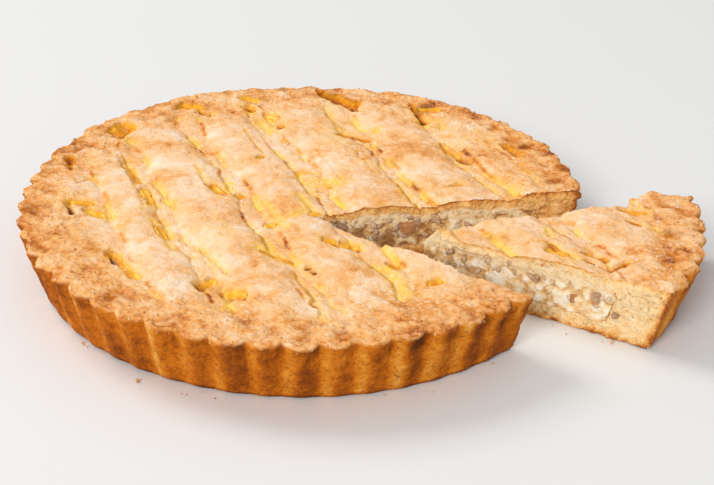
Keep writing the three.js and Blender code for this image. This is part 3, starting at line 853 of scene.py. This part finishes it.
def crumbSkin():
    f = Finish("pastry crumb", 0.85)
    fine = f.noise(0.7, 4, 0.65)
    middle = f.noise(2.6, 3, 0.6, 0.4)
    # brown: the crust's baking near its skin, and painted shade over the cut
    tone = f.total((fine, 0.65), (middle, 0.7), (f.attribute("brown"), 0.85), -0.42)
    # pores and cracks are darkened with painted shade
    pores = f.spread(f.cells(1.6), 0.05, 0.3)
    crumb = f.mix(f.spread(pores, 0, 1, 0.35, 0.0), f.ramp(tone, colours["crumb"]), srgb(*colours["pore"]))
    crack = f.spread(f.cells(4.6, "DISTANCE_TO_EDGE"), 0.0, 0.05, 0.45, 0.0)
    crack = f.math("MULTIPLY", crack, f.spread(f.noise(8, 2, 0.5, 1.7), 0.52, 0.66))
    crumb = f.mix(crack, crumb, srgb(*colours["crack"]))
    curd = f.ramp(f.total((fine, 0.4), (middle, 0.5), 0.0), colours["curd"])
    crumb = f.mix(f.attribute("curd"), crumb, curd)
    f.bump(f.total((fine, 0.8), (pores, 0.4), (middle, 1.0), (crack, -0.4), 0.0), 0.8, 0.85)
    return f.colour(crumb)


def bakedSkin():  # ricotta that has come up through a hole, amber by depth: baked amber, with painted shade darkening the deep holes
    f = Finish("baked ricotta skin", 0.42, coat=0.1, specular=0.25)
    middle = f.noise(3.0, 3, 0.6, 0.2)
    tone = f.total((middle, 0.4), (f.noise(8, 2, 0.5, 0.9), 0.2), (f.attribute("amber"), 1.0), -0.28)
    f.bump(f.total((f.noise(1.2, 3, 0.5), 0.5), (middle, 0.8), 0.0), 0.5, 0.6)
    return f.colour(f.ramp(tone, colours["skin"]))


def curdSkin():
    f = Finish("ricotta at the cut", 0.55, subsurface=0.1)
    fine = f.noise(0.8, 4, 0.6)
    middle = f.noise(3.0, 3, 0.6, 0.5)
    # valley: painted shade in the curds' low places and over the cut, with wheaty patches
    tone = f.total((fine, 0.4), (middle, 0.4), (f.attribute("valley"), 0.75), -0.38)
    f.bump(f.total((fine, 0.7), (middle, 0.8), 0.0), 1.0, 0.9)
    return f.colour(f.ramp(tone, colours["curd"]))


# Small pieces: name, roughness, coat, subsurface and specular; then the size and weight of their tone's
# noise, the weight of each one's own number and a shift; then the size and strength of their bumps
smallLooks = {
    "wheat": ("cooked wheat", 0.42, 0.08, 0.1, 0.3, 1.4, 0.8, 0.5, -0.15, 0.8, 0.7),
    "peel": ("candied peel", 0.3, 0.25, 0.15, 0.3, 2.2, 1.0, 0.0, 0.0, 0.9, 0.7),
    "sugar": ("sugar crystal", 0.15, 0.0, 0.0, 0.7, 1.0, 0.0, 1.0, 0.0, 1.0, 0.0),
    "crumble": ("loose crumb", 0.85, 0.0, 0.0, 0.3, 0.8, 0.5, 0.75, -0.15, 0.4, 0.9),
}


def smallSkin(name):
    *shader, size, weight, own, shift, bumpSize, bump = smallLooks[name]
    f = Finish(*shader)
    tone = f.total((f.noise(size, 3, 0.6), weight), (f.attribute("own"), own), shift)
    f.bump(f.noise(bumpSize, 3, 0.6), 0.3, bump)
    return f.colour(f.ramp(tone, colours[name]))


finishes = {make.__name__: make() for make in (doughSkin, crumbSkin, bakedSkin, curdSkin)}
finishes |= {name: smallSkin(name) for name in smallLooks}


# How baked the dough is and how light the wall, each with patches as weight, size and seed
toneLook = {
    "bake": 0.39, "patches": ((0.17, 19, 91), (0.18, 7.5, 92), (0.12, 3.4, 99)), "seam": 0.42,
    "rimPatches": ((0.09, 9, 90), (0.12, 4, 79)), "wall": 0.44, "wallPatches": ((0.16, 9, 93), (0.1, 4, 77)),
}


# Tones that follow the shape, one number for each vertex. Bake is a sum of patches, the rim's browning,
# painted light on the relief's puffs and painted shade in its hollows, at hole edges and in the furrows, and
# browner strip edges with painted shade along them; yolk is the yellow beside strips and holes; the wall's
# tone goes by lobe and height, with a painted highlight on each lobe's left flank and painted shade on its
# right flank and under the rim.
def doughTones(mesh):
    x, y, z = coords(mesh).T
    r, angle, flat = np.hypot(x, y), np.arctan2(y, x), spot(x, y, 0.0)
    up = normals(mesh)[:, 2]
    _, turn, number = lobes(angle)
    own = ofFlute(number, 0, 9)
    rim, edge = smooth(r, 98, 122), smooth(r, 118, 129)
    nearest, _, warm = holesAt(x, y)
    _, yellow, brown = creasesAt(x, y)
    _, beside, flank = highSurface(x, y)
    onTop = smooth(z, 22, 25) * (1 - smooth(r, 104, 116))
    patches = noises(flat, *toneLook["patches"]) * (1 - 0.3 * rim)
    patches = patches + noises(flat, *toneLook["rimPatches"]) * rim
    # browner high-strip edges, with painted shade along them where they meet the low layer
    seam = toneLook["seam"] * bell(beside + 0.3, 1.1) * smooth(noise(flat, 8, 85), -0.2, 0.4) * onTop
    # painted shade on the dough at and inside a hole's edge, more for browner holes
    holeEdgeShade = 0.2 * fading(nearest, 0.8) * np.clip(warm + 0.3, 0, 1) * smooth(z, 20, 23)
    # less relief makes it darker: painted shade in the hollows and painted light on the puffs
    bake = toneLook["bake"] + patches - 0.14 * doughRelief(x, y) + 0.09 * rim + 0.08 * edge + seam + holeEdgeShade
    # the furrows' brown: painted shade in them, on the top only
    bake = bake + 0.3 * brown * onTop

    wall = smooth(-z, -28.6, -27.0) * smooth(r, 108, 114)
    around = spot(np.cos(angle) * 120, np.sin(angle) * 120, z * 0.5)
    tone = toneLook["wall"] + noises(around, *toneLook["wallPatches"]) - 0.3 * smooth(-z, -2.6, -0.2)
    # dark: painted shade under the rim's overhang, in patches that vary by flute
    dark = smooth(z, 17, 24.5) * smooth(noise(around, 7, 86) + 0.8 * own - 0.4, -0.3, 0.7)
    # a painted highlight on each lobe's left flank, where the light from the left falls
    paintedHighlight = bell(turn + 0.25, 0.19) * (0.5 + 0.5 * own + 0.5 * noise(around, 9, 74))
    # the last term is painted shade on each lobe's right flank
    tone = tone - 0.24 * dark * (1 - paintedHighlight) + 0.26 * paintedHighlight - 0.1 * bell(turn - 0.2, 0.24)

    stain = bell(beside - 0.8, 2.0 + 1.2 * noise(flat, 9, 72)) + 0.25 * bell(beside, 4.5)
    stain = stain * stained(x, y, flank) * (0.72 + 0.45 * noise(flat, 5, 70))
    glow = 0.9 * fading(nearest, 1.5) * smooth(noise(flat, 5, 89), -0.5, 0.3)
    yolk = np.maximum(np.maximum(stain, glow), yellow) * onTop
    yolk = yolk + 0.3 * smooth(noise(flat, 26, 94), 0.1, 0.7) * (1 - rim)
    sugar = smooth(up, 0.6, 0.9) * (0.5 + 0.5 * noise(flat, 20, 95)) * (1 - 0.45 * rim)
    opened = smooth(-nearest, -0.3, 0.7) * smooth(z, 17, 20) * (1 - smooth(r, 124, 127))
    return {"bake": bake, "wall": wall, "wallTone": tone, "yolk": np.clip(yolk, 0, 1), "open": opened,
            "amber": 0.26 + 0.62 * warm, "sugar": np.clip(sugar, 0, 1), "rough": smooth(r, 72, 124)}


def crumbTones(mesh, toast):  # brown near the skin, the wall and the foot, and painted shade all over the cut, more in the gap
    x, y, z = coords(mesh).T
    r = np.hypot(x, y)
    outer = tart["footR"] + np.clip(z, 0, 26) / 26 * 7.0 - 1.4
    skin = fading(outer - r, 1.6) + 0.95 * fading(z, 2.0)
    brown = skin * (0.9 + 0.5 * noise(spot(x, y, z), 3.5, 96)) + toast
    brown = brown + 0.5 * fading(np.abs(crownAt(x, y) - z), 0.8)
    return {"brown": np.clip(brown, 0, 1), "curd": curdShare(x, y, z)}


def fillingTones(mesh):  # browner in the bowls that are given as brown (baked amber, with painted shade in the deep ones), and along their outlines, where the darkening is painted shade
    x, y, _ = coords(mesh).T
    flat = spot(x, y, 0.0)
    nearest, _, warm = holesAt(x, y)
    amber = 0.26 + 0.72 * warm + 0.14 * fading(np.abs(nearest), 0.6)
    return {"amber": np.clip(amber + noises(flat, (0.1, 15, 97), (0.16, 4, 98)), 0, 1.2)}


# Painted shade in the low places of the curds' relief on the side of the wedge that a vertex lies on, wheaty
# patches, and painted shade over the whole cut, more in the gap
def curdTones(mesh, which, seed, toast):
    x, y, z = coords(mesh).T
    start = knife[which]["corner"]
    valley = np.zeros(len(x))
    for side, part in enumerate(("front", "back")):
        d, off = along(x - start[0], y - start[1], knife[which][part])
        low = smooth(-curdRelief(d, z, seed + side), -0.5, 0.9)
        wheaty = 0.25 * smooth(noise(spot(d, z, side * 9.0), 7, 83), 0.1, 0.6)
        valley = np.where(np.abs(off) < 3.5, 0.9 * low + wheaty + toast, valley)
    return {"valley": valley}


def place(points, drawnOut):  # from the tart's own millimetres to the frame's metres
    if drawnOut:
        x, y = onLine(knife["pulled"], knife["turned"], points[:, 0], points[:, 1])
        points = np.stack([x, y, points[:, 2]], -1)
    return (points + [centreX, 0, 0]) * mm


def cornerSlots(mesh):  # the material of each face corner
    return np.repeat(read(mesh.polygons, "material_index"), read(mesh.polygons, "loop_total"))


def markCut(mesh):  # the skin meets the cut in a sharp edge, and all else is smooth
    each, edges = cornerSlots(mesh), read(mesh.loops, "edge_index")
    most, least = np.zeros(len(mesh.edges), np.int32), np.full(len(mesh.edges), 9, np.int32)
    np.maximum.at(most, edges, each)
    np.minimum.at(least, edges, each)
    sharp = mesh.attributes.get("sharp_edge") or mesh.attributes.new("sharp_edge", "BOOLEAN", "EDGE")
    sharp.data.foreach_set("value", most > least)


def piece(name, mesh, nodes, skins, tones, drawnOut):
    for key, values in tones.items():
        note(mesh, key, values)
    mesh.vertices.foreach_set("co", place(coords(mesh), drawnOut).astype(np.float32).ravel())
    mesh.polygons.foreach_set("use_smooth", np.ones(len(mesh.polygons), bool))
    slots = read(mesh.polygons, "material_index")
    mesh.materials.clear()
    for skin in skins:
        mesh.materials.append(finishes[skin])
    mesh.polygons.foreach_set("material_index", np.minimum(slots, len(skins) - 1))
    if len(skins) > 1:
        markCut(mesh)
    mesh.update()
    made = objectOf(name, mesh)
    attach(made, "root")
    if nodes:
        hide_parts(*nodes)


def camel(name):  # some_name as someName
    words = name.split("_")
    return words[0] + "".join(w.capitalize() for w in words[1:])


# Points of the dough's surface, their normals and whether they are on a cut, for the rest and for the slice
crumbSpots = {False: [], True: []}


def noteSpots(mesh, drawnOut):
    cut = np.zeros(len(mesh.vertices), bool)
    cut[read(mesh.loops, "vertex_index")[cornerSlots(mesh) == 1]] = True
    crumbSpots[drawnOut].append((coords(mesh), normals(mesh), cut))


def makeTart():  # every whole solid less the gap's wedge, and the slice's wedge of it
    wedges = (("gap", 1), ("slice", 5))
    knives = {kind: [knifeBody(which, kind == "filling", seed, inset) for which, seed in wedges]
              for kind, inset in cutLook["insets"].items()}
    dough = ("doughSkin", "crumbSkin")
    wholes = [("crust", wholeCrust(), "crust", dough)]
    wholes += [("filling", wholeFilling(), "filling", ("bakedSkin", "curdSkin"))]
    wholes += [(f"low_strip_{n + 1}", wholeLow(n), "lattice", dough) for n in range(len(lattice["low"]))]
    wholes += [(f"high_strip_{n + 1}", wholeHigh(n), "lattice", dough) for n in range(len(lattice["high"]))]
    print("whole solids made")
    for node, whole, slot, skins in wholes:
        pair = knives[node.split("_")[0]]
        for drawnOut in (False, True):
            own = ["slice_" + node] if drawnOut else [node, node + "a", node + "b"]
            own = [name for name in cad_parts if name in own]
            if not own:
                continue
            mesh = withoutScraps(carved(whole, pair[drawnOut], "slice" if drawnOut else "rest"))
            toast = cutLook["toast"][drawnOut]
            if slot == "filling":
                which, seed = ("slice", 7) if drawnOut else ("gap", 3)
                tones = fillingTones(mesh) | curdTones(mesh, which, seed, toast)
            else:
                tones = doughTones(mesh) | crumbTones(mesh, toast)
                noteSpots(mesh, drawnOut)
            piece(camel("slice_" * drawnOut + node), mesh, own, skins, tones, drawnOut)
    for pair in knives.values():
        for body in pair:
            bpy.data.objects.remove(body)
    print("tart cut")


makeTart()


# Wheat that stands out of the cuts: side, which way is out, from and to along the cut and in height, how many
wheat = {
    "long": 2.2, "thick": 1.2, "sunk": 0.9, "bumps": 0.18,
    "gap": [("back", -1, 5, 62, 12, 23.5, 44), ("back", -1, 60, 96, 9, 20, 6),
            ("front", 1, 6, 92, 9, 22, 26)],
    "slice": [("front", -1, 10, 62, 13, 23.5, 24), ("front", -1, 58, 92, 10, 21, 8),
              ("back", 1, 6, 92, 9, 20, 24)],
}
# Candied peel: the wedge and its side, which way is into the dough, distance along the cut, height, size,
# turn in degrees, and how far its middle lies inside
peels = {
    "candied_peel_gap": ("gap", "back", -1, 45, 17.5, 6.4, 40, 1.4),
    "candied_peel_slice_1": ("slice", "front", 1, 71, 13.4, 5.8, 15, 2.6),
    "candied_peel_slice_2": ("slice", "front", 1, 81, 14.8, 4.2, 50, 1.9),
}


def grainsOnCut(name, which, seed):
    rng = np.random.default_rng(seed)
    centres = []
    for side, outward, dFrom, dTo, zFrom, zTo, count in wheat[which]:
        d = dFrom + (dTo - dFrom) * rng.random(count)
        z = zFrom + (zTo - zFrom) * rng.random(count)
        sunk = wheat["sunk"] * (0.3 + rng.random(count))
        centres.append(spot(*onLine(knife[which]["corner"], knife[which][side], d, -outward * sunk), z))
    centres = np.vstack(centres)
    n = len(centres)
    radii = (0.7 + 0.5 * rng.random((n, 1))) * [wheat["long"], wheat["thick"], wheat["thick"]]
    mesh = balls(name, centres, radii, 0.9, randomTurns(n, rng), 9, 14, wheat["bumps"], seed)
    piece(name, mesh, [], ["wheat"], {}, which == "slice")


def candiedPeel(node):  # one cube with rounded edges, most of it inside the wedge's side
    which, side, across, run, z, size, turn, inside = peels[node]
    centre = spot(*onLine(knife[which]["corner"], knife[which][side], run, across * inside), z)[None]
    t = math.radians(turn)
    spin = np.array([[[math.cos(t), -math.sin(t), 0], [math.sin(t), math.cos(t), 0], [0, 0, 1]]])
    mesh = balls(node, centre, np.array([[0.5, 0.4, 0.375]]) * size, 0.45, spin, 23, 36, 0.12, 3)
    piece(camel(node), mesh, [node], ["peel"], {}, which == "slice")


grainsOnCut("wheatInGap", "gap", 21)
grainsOnCut("wheatInSlice", "slice", 22)
for node in peels:
    candiedPeel(node)
print("wheat and peel made")


# Crumbs and sugar, half sunk where they lie: counts on the rest and on the slice, least and greatest radius,
# squareness, from and to in distance from the middle and in height, how upright the dough is there at least,
# and whether it is a cut
sprinkled = {
    "rimCrumbs": ((480, 90), (0.25, 0.7), 0.8, (109, 140), (26, 40), 0.3, False),
    "edgeCrumbs": ((120, 24), (0.35, 0.85), 0.8, (126.3, 140), (26.2, 40), -2, False),
    "topCrumbs": ((220, 40), (0.18, 0.42), 0.8, (0, 109), (25, 40), 0.6, False),
    "cutCrumbs": ((180, 160), (0.2, 0.6), 0.8, (0, 140), (0.6, 27), -2, True),
    "sugar": ((30, 30), (0.2, 0.42), 0.35, (84, 140), (25, 40), 0.75, False),
}


def crumbBalls(name, centres, size, squareness, rng, seed):  # uneven small lumps of the given sizes
    n = len(centres)
    radii = size[:, None] * (0.7 + 0.3 * rng.random((n, 3)))
    return balls(name, centres, radii, squareness, randomTurns(n, rng), 4, 7, 0.22, seed)


def sprinkle(name, drawnOut, seed):
    counts, (least, most), squareness, away, heights, upright, onCut = sprinkled[name]
    points, facing, cut = (np.concatenate(part) for part in zip(*crumbSpots[drawnOut]))
    r, z = np.hypot(points[:, 0], points[:, 1]), points[:, 2]
    fits = (r > away[0]) & (r < away[1]) & (z > heights[0]) & (z < heights[1]) & (facing[:, 2] > upright)
    rng = np.random.default_rng(seed)
    picked = rng.choice(np.flatnonzero(fits & (cut == onCut)), counts[drawnOut], replace=False)
    size = least + (most - least) * rng.random(len(picked)) ** 2.2
    isSugar = name == "sugar"
    centres = points[picked] + facing[picked] * (size * (0.5 if isSugar else 0.1))[:, None]
    centres[:, 2] = np.clip(centres[:, 2], size, tart["height"] - 0.08 - size)
    reach = np.hypot(centres[:, 0], centres[:, 1])
    centres[:, :2] *= np.minimum(1, (tart["rimR"] - 0.1 - size) / reach)[:, None]
    mesh = crumbBalls(name, centres, size, squareness, rng, seed)
    slot, skin = ("filling", "sugar") if isSugar else ("crust", "crumble")
    piece(name + ("OnSlice" if drawnOut else "OnTart"), mesh, [], [skin], {}, drawnOut)


for number, name in enumerate(sprinkled):
    sprinkle(name, False, 40 + number)
    sprinkle(name, True, 60 + number)
print("crumbs and sugar made")

fallen = {"radius": (0.25, 0.9), "nearFoot": 12, "nearSlice": 16}


def fallenCrumbs(name, drawnOut, seed):  # on the floor, beside the foot or beside the slice's two cuts
    rng = np.random.default_rng(seed)
    n = fallen["nearSlice"] if drawnOut else fallen["nearFoot"]
    least, most = fallen["radius"]
    size = least + (most - least) * rng.random(n) ** 3
    if drawnOut:
        front = rng.random(n) < 0.5
        d, away = 15 + 100 * rng.random(n), 1.5 + 6 * rng.random(n) ** 2
        angle = np.where(front, knife["slice"]["front"], knife["slice"]["back"])
        x, y = onLine(knife["slice"]["corner"], angle, d, away * np.where(front, -1, 1))
    else:
        angle = 200 + 125 * rng.random(n)
        x, y = onLine((0, 0), angle, 123.2 + 5 * rng.random(n) ** 2)
    mesh = crumbBalls(name, spot(x, y, size * 0.8), size, 0.75, rng, seed)
    piece(name, mesh, [], ["crumble"], {}, drawnOut)


fallenCrumbs("crumbsByFoot", False, 81)
fallenCrumbs("crumbsBySlice", True, 82)


view = {"place": (-0.00147, -0.53386, 0.29767), "aim": (-0.00147, 0.0054, 0), "roll": 1.26375, "lens": 65.55}
lamps = [
    ("back", (-2.4, 1.7, 2.5), 1.7, 70.0, (1.0, 0.985, 0.97)),
    ("front", (-1.6, -3.1, 2.2), 1.5, 92.0, (1.0, 0.985, 0.97)),
]
stageLook = {"floor": (229, 229, 228), "half": 6.0, "below": 0.0002, "sky": 0.53}


def aimed(name, data, where, aim, roll=0.0):
    made = objectOf(name, data)
    made.location = where
    turn = (Vector(aim) - Vector(where)).to_track_quat("-Z", "Y")
    made.rotation_mode = "QUATERNION"
    made.rotation_quaternion = turn @ Euler((0, 0, math.radians(roll))).to_quaternion()
    return made


camera = bpy.data.cameras.new("camera")
camera.lens, camera.sensor_width = view["lens"], 36.0
camera.clip_start, camera.clip_end = 0.01, 30
scene.camera = aimed("camera", camera, view["place"], view["aim"], view["roll"])

for name, where, size, power, tint in lamps:
    lamp = bpy.data.lights.new(name, "AREA")
    lamp.shape, lamp.size, lamp.energy, lamp.color = "DISK", size, power, tint
    aimed(name, lamp, where, (0, 0, 0.01))

world = bpy.data.worlds.new("sky")
world.use_nodes = True
background = world.node_tree.nodes["Background"].inputs
background["Color"].default_value = (1.0, 1.0, 1.0, 1.0)
background["Strength"].default_value = stageLook["sky"]
scene.world = world
scene.view_settings.view_transform = "Standard"

floorFinish = Finish("pale floor", 0.5)
floorMesh = bpy.data.meshes.new("floor")
corners = [(x * stageLook["half"], y * stageLook["half"], 0) for x, y in ((-1, -1), (1, -1), (1, 1), (-1, 1))]
floorMesh.from_pydata(corners, [], [(0, 1, 2, 3)])
floorMesh.materials.append(floorFinish.material)
floorFinish.shader.inputs["Base Color"].default_value = srgb(*stageLook["floor"])
floor = objectOf("floor", floorMesh)
floor.location.z = -stageLook["below"]
